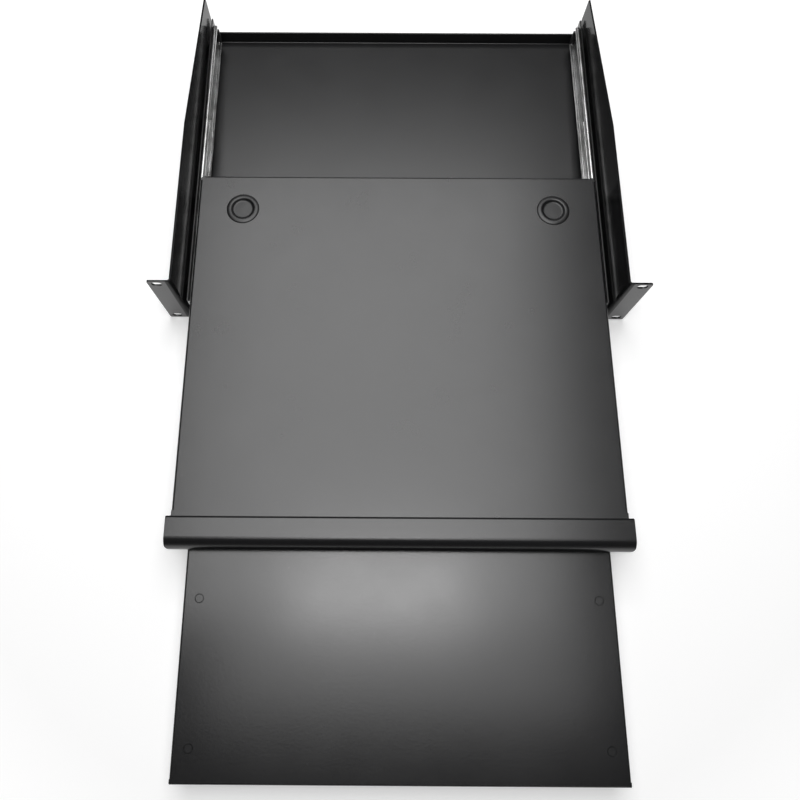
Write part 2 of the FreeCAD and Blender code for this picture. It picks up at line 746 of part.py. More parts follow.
save("keyboard_tray", keyboard_tray())
save("front_handle", front_handle())
handle_seat = base + handle_bottom
save("handle_screws", Part.makeCompound([screw((x, handle_screw_y, handle_seat), (0, 0, 1),
                                               handle_sheet + tray_sheet) for x in handle_screw_places]))
save_pair("inner_rail", inner_member())
save("inner_rail_screws", both_sides([screw((tray_half + middle_sheet, y, slide_z), (-1, 0, 0),
                                            middle_sheet + tray_sheet) for y in inner_screw_places]))
save("right_cable_plug", cable_plug(1))
save("left_cable_plug", cable_plug(-1))
save_pair("mouse_bracket", mouse_bracket())
save("mouse_bracket_rivets", both_sides([bracket_rivet(y) for y in shelf_rivet_places]))
rail_holes = [threaded(mouse_slide_x, y, mouse_slide_seat, (0, 0, 1)) for y in mouse_outer_screw_places]
save_pair("mouse_outer_rail", outer_member(mouse_ball_u, mouse_ball_v, mouse_race, mouse_slide,
                                           mouse_outer_front, mouse_outer_length, rail_holes))
mouse_outer_shank = slide_sheet + shelf_sheet
mouse_outer_head = mouse_slide_seat + slide_sheet
save("mouse_outer_screws", both_sides([screw((mouse_slide_x, y, mouse_outer_head), (0, 0, -1),
                                             mouse_outer_shank) for y in mouse_outer_screw_places]))

save("mouse_panel", mouse_panel())
save("panel_rivets", both_sides([panel_rivet(y) for y in rivet_places]))
save_pair("mouse_inner_rail", mouse_inner_member())
mouse_balls = ball_places(mouse_cage_centre, mouse_cage_length, mouse_balls_per_strip)
save_pair("mouse_cage", cage(mouse_slide, slide_sheet + cage_gap, mouse_ball_u + mouse_cage_reach,
                             mouse_ball_u, mouse_ball_v, mouse_ball, mouse_cage_centre, mouse_cage_length,
                             mouse_balls_per_strip, False))
save("mouse_bearing_balls", both_sides(ball_row(mouse_slide, mouse_ball_u, mouse_ball_v, mouse_ball,
                                                mouse_balls)))
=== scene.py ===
"""Looks of the rack keyboard shelf: finishes, softened edges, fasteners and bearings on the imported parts.

Lengths are in metres in the parts' own frame: X to the shelf's right, Y back into the rack, Z up.
"""

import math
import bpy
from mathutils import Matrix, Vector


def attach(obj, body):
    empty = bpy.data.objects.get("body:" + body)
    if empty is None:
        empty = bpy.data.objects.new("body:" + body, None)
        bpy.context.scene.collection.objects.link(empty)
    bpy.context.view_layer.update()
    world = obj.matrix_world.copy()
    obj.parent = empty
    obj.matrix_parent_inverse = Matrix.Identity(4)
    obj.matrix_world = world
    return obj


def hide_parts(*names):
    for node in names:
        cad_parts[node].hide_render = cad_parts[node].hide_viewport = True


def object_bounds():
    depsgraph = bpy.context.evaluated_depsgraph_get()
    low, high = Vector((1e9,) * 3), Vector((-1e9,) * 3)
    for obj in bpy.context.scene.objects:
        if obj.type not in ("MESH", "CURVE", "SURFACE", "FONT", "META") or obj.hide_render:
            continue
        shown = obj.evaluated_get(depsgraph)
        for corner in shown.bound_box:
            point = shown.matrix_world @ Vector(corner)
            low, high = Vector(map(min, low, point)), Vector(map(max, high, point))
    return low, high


bl_info = {
    "name": "Rack keyboard shelf",
    "version": (1, 0, 0),
    "blender": (4, 5, 0),
    "location": "3D View > Sidebar > Keyboard shelf",
    "description": "Dresses the sliding keyboard shelf and sets its studio",
    "category": "Object",
}

import bmesh
import bpy
from bpy.props import FloatProperty, FloatVectorProperty, IntProperty, PointerProperty
from mathutils import Vector
from mathutils.bvhtree import BVHTree

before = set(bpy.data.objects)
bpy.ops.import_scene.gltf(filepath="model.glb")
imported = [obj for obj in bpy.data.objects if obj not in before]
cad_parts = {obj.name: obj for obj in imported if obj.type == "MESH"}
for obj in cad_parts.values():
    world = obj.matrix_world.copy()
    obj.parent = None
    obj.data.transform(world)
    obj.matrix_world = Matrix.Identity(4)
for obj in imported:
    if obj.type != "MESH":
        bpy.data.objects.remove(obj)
cad_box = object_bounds()

MILLIMETRE = 0.001
WELD = 2e-6       # how near two corners of the CAD's triangles lie that are one
STRAY = 1e-5      # how far past the old skin a bevelled corner may lie
SMOOTH_BELOW = 32.0

# fitted to the photograph's edges
CAMERA_PLACE = (-0.02486, -0.28699, 0.65873)
CAMERA_TILT = math.radians(17.21)
CAMERA_TURN = math.radians(0.36)
CAMERA_SHIFT = (0.0355, -0.0274)
SENSOR_WIDTH = 36.0

# softboxes that hang over the shelf and shine straight down: place, width and depth in metres, power in watts
LAMPS = (("overhead_softbox", (-0.06, 0.485, 1.6), 1.28, 1.67, 26.0),
         ("rear_softbox", (-0.10, 1.17, 1.6), 0.66, 0.36, 2.6),
         ("front_softbox", (0.06, -0.49, 1.6), 1.12, 0.28, 2.1),
         ("centre_softbox", (0.0, -0.27, 1.55), 0.54, 0.20, 2.1))


def linear(code):
    """The linear colour of an sRGB hex value."""
    parts = [int(code[i:i + 2], 16) / 255 for i in (1, 3, 5)]
    return tuple(p / 12.92 if p <= 0.04045 else ((p + 0.055) / 1.055) ** 2.4 for p in parts) + (1.0,)


def length_property(name, description, millimetres):
    """A length in metres, with its default in millimetres."""
    return FloatProperty(name=name, description=description, default=millimetres * MILLIMETRE,
                         min=0.0, precision=5, subtype="DISTANCE", unit="LENGTH")


def colour_property(name, description, code):
    """A colour, with its default as an sRGB hex value."""
    return FloatVectorProperty(name=name, description=description, default=linear(code), size=4,
                               min=0.0, max=1.0, subtype="COLOR")


class ShelfCoat(bpy.types.PropertyGroup):
    """The baked powder coat on the folded sheets."""
    colour: colour_property("Coat colour", "Black of the powder coat", "#19191A")
    thin_colour: colour_property("Thin coat colour", "Coat where it is thin or rubbed, on edges", "#4A4A4B")
    speck_colour: colour_property("Scuff colour", "Dust and fine scuffs on the coat", "#8A8A8A")
    peel_width: length_property("Orange peel", "Distance between the waves in the coat", 1.8)
    grain_width: length_property("Grain", "Width of the coat's fine grain", 0.45)
    edge_radius: length_property("Edge radius", "Radius that the coat leaves on a sheared edge", 0.28)
    channel_half: length_property("Channel", "Half the clear width between the brackets' walls", 224.0)
    flat_area: FloatProperty(name="Flat area", description="Smallest face of the bar that shades as a flat one",
                             default=0.002, min=0.0, precision=4, unit="AREA")
    dressed_width: length_property("Dressed width", "Width of the handle bar's rear edge that is dressed down", 1.6)
    dressed_drop: length_property("Dressed drop", "How far the handle bar's rear edge is dressed down", 1.08)


class ShelfPlating(bpy.types.PropertyGroup):
    """The zinc on the slides and screws."""
    rail_colour: colour_property("Rail colour", "Bright zinc on the rails", "#D8D8D8")
    cage_colour: colour_property("Cage colour", "Zinc on the cages' thin strip", "#B4B7BC")
    screw_colour: colour_property("Screw colour", "Zinc on the screws", "#C6C8CB")
    film_colour: colour_property("Passivation colour", "Tint of the clear film on the zinc", "#9C9C9A")
    streak_width: length_property("Roll streaks", "Width of the streaks that rolling leaves", 0.5)
    patch_width: length_property("Film patches", "Size of the patches in the clear film", 22.0)


class ShelfFasteners(bpy.types.PropertyGroup):
    """Screws, rivets and balls."""
    head_radius: length_property("Head radius", "Radius of a pan head", 3.6)
    head_height: length_property("Head height", "Height of a pan head", 2.0)
    dome_radius: length_property("Dome radius", "Radius of the head's dome", 5.4)
    shank_radius: length_property("Shank radius", "Radius of a screw's shank", 1.9)
    recess_width: length_property("Recess width", "Width of one arm of the cross recess", 0.95)
    recess_reach: length_property("Recess reach", "Length of the cross recess from tip to tip", 3.9)
    recess_depth: length_property("Recess depth", "Depth of the cross recess", 1.3)
    rivet_radius: length_property("Rivet radius", "Radius of a flush rivet's head", 3.45)
    rivet_shank: length_property("Rivet shank", "Radius of a rivet's shank", 2.0)
    rivet_tail: length_property("Rivet tail", "Height of a rivet's closing head", 1.0)
    rivet_sink: length_property("Rivet sink", "Thickness of the sheet that a rivet's head is sunk in", 1.5)
    rivet_dish: length_property("Rivet dish", "Depth of the shallow dish in a rivet's head", 0.25)
    ball_sides: IntProperty(name="Ball detail", description="Subdivisions of a ball", default=3, min=1, max=4)


class ShelfMouldings(bpy.types.PropertyGroup):
    """The nylon cable plugs and stops."""
    plug_colour: colour_property("Plug colour", "Nylon of the cable plugs", "#1C1C1D")
    plug_sides: IntProperty(name="Plug detail", description="Sides that make a plug's round", default=96, min=12,
                            max=256)
    bumper_colour: colour_property("Bumper colour", "Nylon of the rail bumpers", "#242425")
    bumper_radius: length_property("Bumper radius", "Radius on a bumper's edges", 0.6)


class ShelfStudio(bpy.types.PropertyGroup):
    """Camera, lamps and floor."""
    lens: FloatProperty(name="Focal length", description="Camera focal length in millimetres", default=31.82,
                        min=1.0, unit="CAMERA")
    floor_size: FloatProperty(name="Floor size", description="Width of the floor", default=16.0, min=1.0,
                              subtype="DISTANCE", unit="LENGTH")
    floor_colour: colour_property("Floor colour", "Pale floor", "#F4F4F4")
    floor_glow: FloatProperty(name="Floor glow", description="Light that the camera sees in the paper's shadows",
                              default=0.27, min=0.0)
    fade_start: length_property("Fade start", "Distance from the shelf at which the floor starts to fade", 500.0)
    fade_end: length_property("Fade end", "Distance from the shelf at which the floor is white", 1300.0)
    sky: FloatProperty(name="Room light", description="Strength of the light from overhead", default=0.03, min=0.0)
    horizon: FloatProperty(name="Horizon light", description="Strength of the light from the pale walls low down",
                           default=0.45, min=0.0)


def pick(sockets, key):
    """A socket by its number, or by its name among those in use."""
    if isinstance(key, int):
        return sockets[key]
    return next(socket for socket in sockets if socket.name == key and socket.enabled)


def add_node(tree, kind, values=None, links=None, **settings):
    """One node with its settings, its values and the sockets that feed it."""
    node = tree.nodes.new(kind)
    for name, value in settings.items():
        setattr(node, name, value)
    for key, value in (values or {}).items():
        pick(node.inputs, key).default_value = value
    for key, source in (links or {}).items():
        tree.links.new(source, pick(node.inputs, key))
    return node


def pattern_scale(millimetres):
    """The scale at which a wave or cell of a texture is this long."""
    return 1 / (millimetres * MILLIMETRE)


def new_material(name):
    """An empty material, and the coordinates that its patterns read."""
    material = bpy.data.materials.new(name)
    material.use_nodes = True
    tree = material.node_tree
    tree.nodes.clear()
    return material, tree, add_node(tree, "ShaderNodeTexCoord").outputs["Object"]


def powder_coat(name, roughness, channel=0.0):
    """Polyester powder coat, sprayed dry and baked: a black film with shallow orange peel that softens
    every reflection, finer grain under it, and a thinner, greyer coat along sheared edges. Powder hardly
    gets into a channel's corners, so nearer to the middle than the channel's half width it dries dull."""
    coat = bpy.context.scene.shelf_coat
    material, tree, place = new_material(name)
    broad = add_node(tree, "ShaderNodeTexNoise", {"Scale": pattern_scale(90), "Detail": 3.0, "Roughness": 0.55},
                     {"Vector": place})
    shade = add_node(tree, "ShaderNodeMapRange", {"From Min": 0.35, "From Max": 0.65, "To Min": 0.93,
                                                  "To Max": 1.07}, {"Value": broad.outputs["Fac"]})
    base = add_node(tree, "ShaderNodeVectorMath", {0: coat.colour[:3]}, {"Scale": shade.outputs["Result"]},
                    operation="SCALE")
    # dust and fine scuffs: sparse specks about half a millimetre across
    cells = add_node(tree, "ShaderNodeTexVoronoi", {"Scale": pattern_scale(11), "Randomness": 1.0}, {"Vector": place})
    spot = add_node(tree, "ShaderNodeMapRange", {"From Min": 0.035, "From Max": 0.02},
                    {"Value": cells.outputs["Distance"]})
    chance = add_node(tree, "ShaderNodeSeparateColor", links={"Color": cells.outputs["Color"]})
    rare = add_node(tree, "ShaderNodeMath", {1: 0.86}, {0: chance.outputs["Red"]}, operation="GREATER_THAN")
    speck = add_node(tree, "ShaderNodeMath", links={0: spot.outputs["Result"], 1: rare.outputs["Value"]},
                     operation="MULTIPLY")
    speck_amount = add_node(tree, "ShaderNodeMath", {1: 0.35}, {0: speck.outputs["Value"]}, operation="MULTIPLY")
    dusted = add_node(tree, "ShaderNodeMix", {"B": coat.speck_colour},
                      {"Factor": speck_amount.outputs["Value"], "A": base.outputs["Vector"]}, data_type="RGBA")
    # thin coat on the rounded edges, broken up over a few millimetres
    edge = add_node(tree, "ShaderNodeAttribute", attribute_name="edge")
    breaks = add_node(tree, "ShaderNodeTexNoise", {"Scale": pattern_scale(6), "Detail": 4.0}, {"Vector": place})
    worn = add_node(tree, "ShaderNodeMapRange", {"From Min": 0.42, "From Max": 0.7, "To Max": 0.22},
                    {"Value": breaks.outputs["Fac"]})
    thin = add_node(tree, "ShaderNodeMath", links={0: edge.outputs["Fac"], 1: worn.outputs["Result"]},
                    operation="MULTIPLY")
    colour = add_node(tree, "ShaderNodeMix", {"B": coat.thin_colour},
                      {"Factor": thin.outputs["Value"], "A": pick(dusted.outputs, "Result")}, data_type="RGBA")
    smear = add_node(tree, "ShaderNodeTexNoise", {"Scale": pattern_scale(40), "Detail": 5.0, "Roughness": 0.6},
                     {"Vector": place})
    gloss = add_node(tree, "ShaderNodeMapRange", {"From Min": 0.3, "From Max": 0.7, "To Min": roughness - 0.012,
                                                  "To Max": roughness + 0.016}, {"Value": smear.outputs["Fac"]})
    peel = add_node(tree, "ShaderNodeTexNoise", {"Scale": 1 / coat.peel_width, "Detail": 1.0},
                    {"Vector": place})
    grain = add_node(tree, "ShaderNodeTexNoise", {"Scale": 1 / coat.grain_width, "Detail": 2.0}, {"Vector": place})
    waves = add_node(tree, "ShaderNodeBump", {"Strength": 0.45, "Distance": 0.00006},
                     {"Height": peel.outputs["Fac"]})
    skin = add_node(tree, "ShaderNodeBump", {"Strength": 0.4, "Distance": 0.00002},
                    {"Height": grain.outputs["Fac"], "Normal": waves.outputs["Normal"]})
    links = {"Base Color": pick(colour.outputs, "Result"), "Roughness": gloss.outputs["Result"],
             "Normal": skin.outputs["Normal"]}
    if channel:
        axes = add_node(tree, "ShaderNodeSeparateXYZ", links={"Vector": place})
        side = add_node(tree, "ShaderNodeMath", links={0: axes.outputs["X"]}, operation="ABSOLUTE")
        shine = add_node(tree, "ShaderNodeMapRange", {"From Min": channel - MILLIMETRE, "From Max": channel,
                                                      "To Min": 0.06, "To Max": 0.5}, {"Value": side.outputs["Value"]})
        links["Specular IOR Level"] = shine.outputs["Result"]
    surface = add_node(tree, "ShaderNodeBsdfPrincipled", {"Metallic": 0.0, "IOR": 1.58}, links)
    add_node(tree, "ShaderNodeOutputMaterial", links={"Surface": surface.outputs["BSDF"]})
    return material


def rolled_zinc(name, metal_colour, roughness):
    """Cold rolled steel, zinc plated and clear passivated: bright, with fine streaks along the rail
    from rolling and faint cloudy patches where the film is thicker."""
    plating = bpy.context.scene.shelf_plating
    material, tree, place = new_material(name)
    stretch = add_node(tree, "ShaderNodeMapping", {"Scale": (1.0, 0.02, 1.0)}, {"Vector": place})
    streaks = add_node(tree, "ShaderNodeTexNoise", {"Scale": 1 / plating.streak_width, "Detail": 3.0},
                       {"Vector": stretch.outputs["Vector"]})
    patches = add_node(tree, "ShaderNodeTexNoise", {"Scale": 1 / plating.patch_width, "Detail": 2.0},
                       {"Vector": place})
    film = add_node(tree, "ShaderNodeMapRange", {"From Min": 0.42, "From Max": 0.64, "To Max": 0.7},
                    {"Value": patches.outputs["Fac"]})
    colour = add_node(tree, "ShaderNodeMix", {"A": metal_colour, "B": plating.film_colour},
                      {"Factor": film.outputs["Result"]}, data_type="RGBA")
    gloss = add_node(tree, "ShaderNodeMapRange", {"From Min": 0.3, "From Max": 0.7, "To Min": roughness - 0.06,
                                                  "To Max": roughness + 0.1}, {"Value": streaks.outputs["Fac"]})
    lines = add_node(tree, "ShaderNodeBump", {"Strength": 0.3, "Distance": 0.00002},
                     {"Height": streaks.outputs["Fac"]})
    surface = add_node(tree, "ShaderNodeBsdfPrincipled", {"Metallic": 1.0},
                       {"Base Color": pick(colour.outputs, "Result"), "Roughness": gloss.outputs["Result"],
                        "Normal": lines.outputs["Normal"]})
    add_node(tree, "ShaderNodeOutputMaterial", links={"Surface": surface.outputs["BSDF"]})
    return material


def polished_steel(name):
    """Chrome bearing steel, ground and lapped: a mirror with hardly any haze and a film of grease."""
    material, tree, place = new_material(name)
    haze = add_node(tree, "ShaderNodeTexNoise", {"Scale": pattern_scale(1.2), "Detail": 2.0}, {"Vector": place})
    gloss = add_node(tree, "ShaderNodeMapRange", {"To Min": 0.06, "To Max": 0.16}, {"Value": haze.outputs["Fac"]})
    surface = add_node(tree, "ShaderNodeBsdfPrincipled", {"Base Color": linear("#D2D3D5"), "Metallic": 1.0},
                       {"Roughness": gloss.outputs["Result"]})
    add_node(tree, "ShaderNodeOutputMaterial", links={"Surface": surface.outputs["BSDF"]})
    return material


def black_oxide(name):
    """Steel screws blackened in hot oxide: dark, slightly blue, with a dull oily shine."""
    material, tree, place = new_material(name)
    cloud = add_node(tree, "ShaderNodeTexNoise", {"Scale": pattern_scale(2.5), "Detail": 3.0}, {"Vector": place})
    colour = add_node(tree, "ShaderNodeMix", {"A": linear("#1E1F22"), "B": linear("#34353A")},
                      {"Factor": cloud.outputs["Fac"]}, data_type="RGBA")
    gloss = add_node(tree, "ShaderNodeMapRange", {"To Min": 0.28, "To Max": 0.46}, {"Value": cloud.outputs["Fac"]})
    surface = add_node(tree, "ShaderNodeBsdfPrincipled", {"Metallic": 1.0},
                       {"Base Color": pick(colour.outputs, "Result"), "Roughness": gloss.outputs["Result"]})
    add_node(tree, "ShaderNodeOutputMaterial", links={"Surface": surface.outputs["BSDF"]})
    return material


def moulded_nylon(name, colour, roughness):
    """Injection moulded nylon: even colour, a fine spark-eroded grain from the mould and a soft sheen."""
    material, tree, place = new_material(name)
    grain = add_node(tree, "ShaderNodeTexNoise", {"Scale": pattern_scale(0.4), "Detail": 2.0}, {"Vector": place})
    flow = add_node(tree, "ShaderNodeTexNoise", {"Scale": pattern_scale(8), "Detail": 2.0}, {"Vector": place})
    gloss = add_node(tree, "ShaderNodeMapRange", {"To Min": roughness - 0.05, "To Max": roughness + 0.07},
                     {"Value": flow.outputs["Fac"]})
    skin = add_node(tree, "ShaderNodeBump", {"Strength": 0.35, "Distance": 0.00002},
                    {"Height": grain.outputs["Fac"]})
    surface = add_node(tree, "ShaderNodeBsdfPrincipled", {"Base Color": colour, "IOR": 1.53},
                       {"Roughness": gloss.outputs["Result"], "Normal": skin.outputs["Normal"]})
    add_node(tree, "ShaderNodeOutputMaterial", links={"Surface": surface.outputs["BSDF"]})
    return material


def add_object(name, data):
    """A new object in the scene, at the origin."""
    item = bpy.data.objects.new(name, data)
    bpy.context.scene.collection.objects.link(item)
    return item


def use_material(piece, material):
    piece.data.materials.clear()
    piece.data.materials.append(material)


def finish_node(node, material):
    """A CAD node that is shown as it is, with its real finish."""
    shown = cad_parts[node]
    if not shown.material_slots:
        shown.data.materials.append(None)
    for slot in shown.material_slots:
        slot.link = "OBJECT"
        slot.material = material


def joined(node):
    """The CAD node's loose triangles joined into one skin."""
    skin = bmesh.new()
    skin.from_mesh(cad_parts[node].data)
    bmesh.ops.remove_doubles(skin, verts=skin.verts, dist=WELD)
    return skin


def welded(node):
    """The CAD node's skin with its flat faces made whole."""
    skin = joined(node)
    bmesh.ops.dissolve_limit(skin, angle_limit=math.radians(0.4), verts=skin.verts, edges=skin.edges)
    return skin


def shaded(name, mesh, smooth_below):
    """An object that shades smoothly where its faces meet at less than an angle in degrees."""
    mesh.shade_smooth()
    mesh.set_sharp_from_angle(angle=math.radians(smooth_below))
    return add_object(name, mesh)


def to_piece(skin, name, material, smooth_below=SMOOTH_BELOW):
    """An object made from the skin, which is used up."""
    mesh = bpy.data.meshes.new(name)
    skin.to_mesh(mesh)
    skin.free()
    if "custom_normal" in mesh.attributes:
        mesh.attributes.remove(mesh.attributes["custom_normal"])
    piece = shaded(name, mesh, smooth_below)
    use_material(piece, material)
    return piece


def stand_for(piece, body, slot, *nodes):
    """The piece shows in the nodes' place and moves with the body."""
    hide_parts(*nodes)
    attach(piece, body)
    return piece


def soften_edges(skin, radius, sharper_than=50.0):
    """Rounds each sharp edge and marks the new faces in the attribute that the coat's wear reads.
    A corner that the bevel throws past the old skin, where short edges meet, is put back onto it."""
    mark = skin.faces.layers.float.new("edge")
    shape = BVHTree.FromBMesh(skin)
    sharp = [e for e in skin.edges
             if len(e.link_faces) == 2 and e.calc_face_angle(0.0) > math.radians(sharper_than)]
    made = bmesh.ops.bevel(skin, geom=sharp, offset=radius, offset_type="OFFSET", segments=2, profile=0.5,
                           affect="EDGES", clamp_overlap=False)
    for face in made["faces"]:
        face[mark] = 1.0
    for vertex in skin.verts:
        near, normal, face, distance = shape.find_nearest(vertex.co)
        if distance > radius or (vertex.co - near).dot(normal) > STRAY:
            vertex.co = near


def coated_sheet(node, body, slot, material, skin=None):
    """A folded and coated sheet: the node's own shape, or a dressed copy of it, with the radius that the
    coat leaves on its edges."""
    skin = skin or welded(node)
    soften_edges(skin, bpy.context.scene.shelf_coat.edge_radius)
    piece = to_piece(skin, node + "_sheet", material)
    level = piece.modifiers.new("level_faces", "WEIGHTED_NORMAL")
    level.weight = 100
    level.keep_sharp = True
    return stand_for(piece, body, slot, node)


def islands(node):
    """Lowest and highest corner of each separate solid in a CAD node."""
    skin = joined(node)
    found = []
    left = set(skin.verts)
    while left:
        front = [left.pop()]
        island = list(front)
        while front:
            for edge in front.pop().link_edges:
                for vertex in edge.verts:
                    if vertex in left:
                        left.remove(vertex)
                        front.append(vertex)
                        island.append(vertex)
        low = Vector([min(v.co[i] for v in island) for i in range(3)])
        high = Vector([max(v.co[i] for v in island) for i in range(3)])
        found.append((low, high))
    skin.free()
    return sorted(found, key=lambda box: (round(box[0].x, 4), round(box[0].y, 4), round(box[0].z, 4)))


def points_object(name, places, facings):
    """Loose points that a node tree puts its copies on, each with the way it faces."""
    mesh = bpy.data.meshes.new(name)
    mesh.from_pydata([tuple(p) for p in places], [], [])
    facing = mesh.attributes.new("facing", "FLOAT_VECTOR", "POINT")
    facing.data.foreach_set("vector", [c for f in facings for c in f])
    return add_object(name, mesh)


def new_tree(name, inputs):
    """A geometry node tree with a geometry input and named sizes."""
    tree = bpy.data.node_groups.new(name, "GeometryNodeTree")
    tree.interface.new_socket("Geometry", in_out="INPUT", socket_type="NodeSocketGeometry")
    for label, kind in inputs:
        tree.interface.new_socket(label, in_out="INPUT", socket_type=kind)
    tree.interface.new_socket("Geometry", in_out="OUTPUT", socket_type="NodeSocketGeometry")
    given = add_node(tree, "NodeGroupInput")
    result = add_node(tree, "NodeGroupOutput")
    return tree, given.outputs, result


def finish_tree(tree, given, result, shape, material):
    """Copies the shape onto the points, turned the way each faces, and gives it its material."""
    facing = add_node(tree, "GeometryNodeInputNamedAttribute", {"Name": "facing"}, data_type="FLOAT_VECTOR")
    turn = add_node(tree, "FunctionNodeAlignRotationToVector", links={"Vector": facing.outputs["Attribute"]},
                    axis="Z")
    copies = add_node(tree, "GeometryNodeInstanceOnPoints",
                      links={"Points": given["Geometry"], "Instance": shape, "Rotation": turn.outputs["Rotation"]})
    solid = add_node(tree, "GeometryNodeRealizeInstances", links={"Geometry": copies.outputs["Instances"]})
    painted = add_node(tree, "GeometryNodeSetMaterial", {"Material": material},
                       {"Geometry": solid.outputs["Geometry"]})
    tree.links.new(painted.outputs["Geometry"], result.inputs["Geometry"])


def grown(points, tree, sizes, name, smooth_below=SMOOTH_BELOW):
    """The plain mesh that the tree makes on the points."""
    modifier = points.modifiers.new("copies", "NODES")
    modifier.node_group = tree
    for item in tree.interface.items_tree:
        if item.in_out == "INPUT" and item.name in sizes:
            modifier[item.identifier] = sizes[item.name]
    evaluated = points.evaluated_get(bpy.context.evaluated_depsgraph_get())
    mesh = bpy.data.meshes.new_from_object(evaluated)
    if not mesh.polygons:
        raise RuntimeError(name + ": the node tree made no faces")
    mesh.name = name
    points.modifiers.remove(modifier)
    bpy.data.objects.remove(points)
    return shaded(name, mesh, smooth_below)


def screw_tree(material):
    """Pan head screw with a cross recess: a dome cut by a cylinder, a shank, and two crossing slots."""
    tree, given, result = new_tree("pan_head_screw", [
        ("Head radius", "NodeSocketFloat"), ("Head height", "NodeSocketFloat"), ("Dome radius", "NodeSocketFloat"),
        ("Shank radius", "NodeSocketFloat"), ("Shank length", "NodeSocketFloat"),
        ("Recess width", "NodeSocketFloat"), ("Recess reach", "NodeSocketFloat"),
        ("Recess depth", "NodeSocketFloat")])
    half_head = add_node(tree, "ShaderNodeMath", {1: 0.5}, {0: given["Head height"]}, operation="MULTIPLY")
    head_place = add_node(tree, "ShaderNodeCombineXYZ", links={"Z": half_head.outputs["Value"]})
    rim = add_node(tree, "GeometryNodeMeshCylinder", {"Vertices": 40},
                   {"Radius": given["Head radius"], "Depth": given["Head height"]})
    rim_up = add_node(tree, "GeometryNodeTransform", links={"Geometry": rim.outputs["Mesh"],
                                                            "Translation": head_place.outputs["Vector"]})
    dome = add_node(tree, "GeometryNodeMeshUVSphere", {"Segments": 40, "Rings": 32}, {"Radius": given["Dome radius"]})
    dome_drop = add_node(tree, "ShaderNodeMath", links={0: given["Head height"], 1: given["Dome radius"]},
                         operation="SUBTRACT")
    dome_place = add_node(tree, "ShaderNodeCombineXYZ", links={"Z": dome_drop.outputs["Value"]})
    dome_up = add_node(tree, "GeometryNodeTransform", links={"Geometry": dome.outputs["Mesh"],
                                                             "Translation": dome_place.outputs["Vector"]})
    head = add_node(tree, "GeometryNodeMeshBoolean", operation="INTERSECT", solver="EXACT")
    tree.links.new(rim_up.outputs["Geometry"], head.inputs["Mesh 2"])
    tree.links.new(dome_up.outputs["Geometry"], head.inputs["Mesh 2"])
    shank = add_node(tree, "GeometryNodeMeshCylinder", {"Vertices": 24},
                     {"Radius": given["Shank radius"], "Depth": given["Shank length"]})
    half_shank = add_node(tree, "ShaderNodeMath", {1: -0.5}, {0: given["Shank length"]}, operation="MULTIPLY")
    shank_place = add_node(tree, "ShaderNodeCombineXYZ", links={"Z": half_shank.outputs["Value"]})
    shank_down = add_node(tree, "GeometryNodeTransform", links={"Geometry": shank.outputs["Mesh"],
                                                                "Translation": shank_place.outputs["Vector"]})
    whole = add_node(tree, "GeometryNodeMeshBoolean", operation="UNION", solver="EXACT")
    tree.links.new(head.outputs["Mesh"], whole.inputs["Mesh 2"])
    tree.links.new(shank_down.outputs["Geometry"], whole.inputs["Mesh 2"])
    depth_twice = add_node(tree, "ShaderNodeMath", {1: 2.0}, {0: given["Recess depth"]}, operation="MULTIPLY")
    recess_place = add_node(tree, "ShaderNodeCombineXYZ", links={"Z": given["Head height"]})
    across = add_node(tree, "ShaderNodeCombineXYZ", links={"X": given["Recess reach"], "Y": given["Recess width"],
                                                           "Z": depth_twice.outputs["Value"]})
    along = add_node(tree, "ShaderNodeCombineXYZ", links={"X": given["Recess width"], "Y": given["Recess reach"],
                                                          "Z": depth_twice.outputs["Value"]})
    cut = add_node(tree, "GeometryNodeMeshBoolean", operation="DIFFERENCE", solver="EXACT")
    tree.links.new(whole.outputs["Mesh"], cut.inputs["Mesh 1"])
    for size in (across, along):
        arm = add_node(tree, "GeometryNodeMeshCube", links={"Size": size.outputs["Vector"]})
        arm_up = add_node(tree, "GeometryNodeTransform", links={"Geometry": arm.outputs["Mesh"],
                                                                "Translation": recess_place.outputs["Vector"]})
        tree.links.new(arm_up.outputs["Geometry"], cut.inputs["Mesh 2"])
    finish_tree(tree, given, result, cut.outputs["Mesh"], material)
    return tree


def ball_tree(material):
    """Bearing balls: one round ball on each point."""
    tree, given, result = new_tree("bearing_ball", [("Ball radius", "NodeSocketFloat"), ("Detail", "NodeSocketInt")])
    ball = add_node(tree, "GeometryNodeMeshIcoSphere",
                    links={"Radius": given["Ball radius"], "Subdivisions": given["Detail"]})
    finish_tree(tree, given, result, ball.outputs["Mesh"], material)
    return tree


